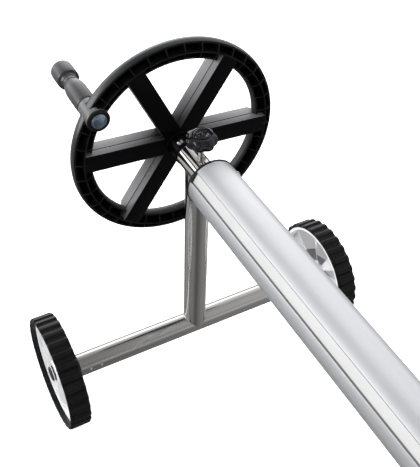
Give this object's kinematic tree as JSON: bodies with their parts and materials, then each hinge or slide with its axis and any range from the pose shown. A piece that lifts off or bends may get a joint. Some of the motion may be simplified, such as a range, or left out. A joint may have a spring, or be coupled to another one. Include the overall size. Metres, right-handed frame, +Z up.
{
  "type": "pool cover reel",
  "caption": "Wheeled pool cover reel: a keyed telescopic roller tube between two T-shaped stands on casters, with a handwheel, turning crank grip and screw brake.",
  "frame": {"origin": "on the ground, under the middle of the reel's length and width", "axes": "+X along the reel axis from the handwheel to the idler end, +Y across between the casters, +Z up"},
  "size_m": [2.6115, 0.5492, 0.6086],
  "materials": {
    "stainless_tube": "polished stainless with a fine lengthwise grain",
    "weld_steel": "rippled weld, dulled",
    "zinc_steel": "bright zinc plate",
    "blue_zinc_steel": "blue passivated zinc, domed head",
    "axle_steel": "black coated",
    "anodised_tube": "satin anodised, extrusion lines along the length",
    "wheel_plastic": "satin moulded black",
    "knob_plastic": "glossy moulded black",
    "grip_plastic": "dark grey, soft sheen",
    "black_plastic": "moulded black",
    "nylon": "natural nylon",
    "tyre_rubber": "moulded tread, slightly dusty",
    "hub_plastic": "silver grey moulded"
  },
  "bodies": {
    "drive_stand": {"drive_base_tube": "stainless_tube", "drive_upright": "stainless_tube", "drive_bearing_sleeve": "stainless_tube", "drive_weld_beads": "weld_steel", "drive_bushes": "nylon", "drive_stud_boss": "zinc_steel", "drive_base_plugs": "black_plastic", "drive_plug_rivets": "zinc_steel", "drive_axle_bolts": "axle_steel", "drive_axle_nuts": "zinc_steel"},
    "reel_drive": {"handwheel": "wheel_plastic", "drive_shaft": "zinc_steel", "hub_bolt": "zinc_steel", "hub_nut": "zinc_steel", "crank_spindle": "blue_zinc_steel", "crank_washer": "black_plastic", "crank_nut": "zinc_steel", "drive_tube_plug": "black_plastic", "drive_plug_screws": "zinc_steel", "drive_shaft_pin": "zinc_steel", "outer_tube": "anodised_tube", "tube_collar": "black_plastic", "collar_screws": "zinc_steel"},
    "crank_grip": {"grip_body": "grip_plastic", "grip_end_cap": "grip_plastic"},
    "brake_pad": {"brake_pad": "nylon"},
    "brake_knob": {"brake_stud": "zinc_steel", "brake_knob": "knob_plastic", "brake_knob_cap": "knob_plastic"},
    "idler_stand": {"idler_base_tube": "stainless_tube", "idler_upright": "stainless_tube", "idler_bearing_sleeve": "stainless_tube", "idler_weld_beads": "weld_steel", "idler_bushes": "nylon", "idler_base_plugs": "black_plastic", "idler_plug_rivets": "zinc_steel", "idler_axle_bolts": "axle_steel", "idler_axle_nuts": "zinc_steel"},
    "reel_idler": {"inner_tube": "anodised_tube", "idler_tube_plug": "black_plastic", "idler_plug_screws": "zinc_steel", "idler_shaft": "zinc_steel", "idler_shaft_pin": "zinc_steel", "idler_shaft_collar": "nylon", "idler_shaft_cap": "black_plastic"},
    "drive_near_caster": {"drive_near_tyre": "tyre_rubber", "drive_near_hub": "hub_plastic", "drive_near_hub_bushes": "nylon"},
    "drive_far_caster": {"drive_far_tyre": "tyre_rubber", "drive_far_hub": "hub_plastic", "drive_far_hub_bushes": "nylon"},
    "idler_near_caster": {"idler_near_tyre": "tyre_rubber", "idler_near_hub": "hub_plastic", "idler_near_hub_bushes": "nylon"},
    "idler_far_caster": {"idler_far_tyre": "tyre_rubber", "idler_far_hub": "hub_plastic", "idler_far_hub_bushes": "nylon"}
  },
  "joints": [
    {"name": "reel_spin", "type": "hinge", "parent": "drive_stand", "child": "reel_drive", "pos_m": [-1.1, -0.0056, 0.4397], "axis": [1, 0, 0], "continuous": true},
    {"name": "grip_spin", "type": "hinge", "parent": "reel_drive", "child": "crank_grip", "pos_m": [-1.25, -0.1332, 0.52448], "axis": [1, 0, 0], "continuous": true},
    {"name": "brake_travel", "type": "slide", "parent": "drive_stand", "child": "brake_pad", "axis": [0, 0, 1], "range_m": [0, 0.00375]},
    {"name": "brake_turn", "type": "hinge", "parent": "brake_pad", "child": "brake_knob", "pos_m": [-1.091, -0.0056, 0.4957], "axis": [0, 0, 1], "range_deg": [0, 900]},
    {"name": "telescope", "type": "slide", "parent": "drive_stand", "child": "idler_stand", "axis": [1, 0, 0], "range_m": [0, 1.6]},
    {"name": "idler_spin", "type": "hinge", "parent": "idler_stand", "child": "reel_idler", "pos_m": [1.2095, -0.0056, 0.4397], "axis": [1, 0, 0], "continuous": true},
    {"name": "drive_near_roll", "type": "hinge", "parent": "drive_stand", "child": "drive_near_caster", "pos_m": [-1.1, -0.2571, 0.0966], "axis": [0, 1, 0], "continuous": true},
    {"name": "drive_far_roll", "type": "hinge", "parent": "drive_stand", "child": "drive_far_caster", "pos_m": [-1.1, 0.2571, 0.0966], "axis": [0, 1, 0], "continuous": true},
    {"name": "idler_near_roll", "type": "hinge", "parent": "idler_stand", "child": "idler_near_caster", "pos_m": [1.2095, -0.2571, 0.0966], "axis": [0, 1, 0], "continuous": true},
    {"name": "idler_far_roll", "type": "hinge", "parent": "idler_stand", "child": "idler_far_caster", "pos_m": [1.2095, 0.2571, 0.0966], "axis": [0, 1, 0], "continuous": true}
  ],
  "couplings": [
    {"joint": "idler_spin", "follows": "reel_spin", "ratio": 1},
    {"joint": "brake_turn", "follows": "brake_travel", "rad_per_m": 4188.8}
  ]
}
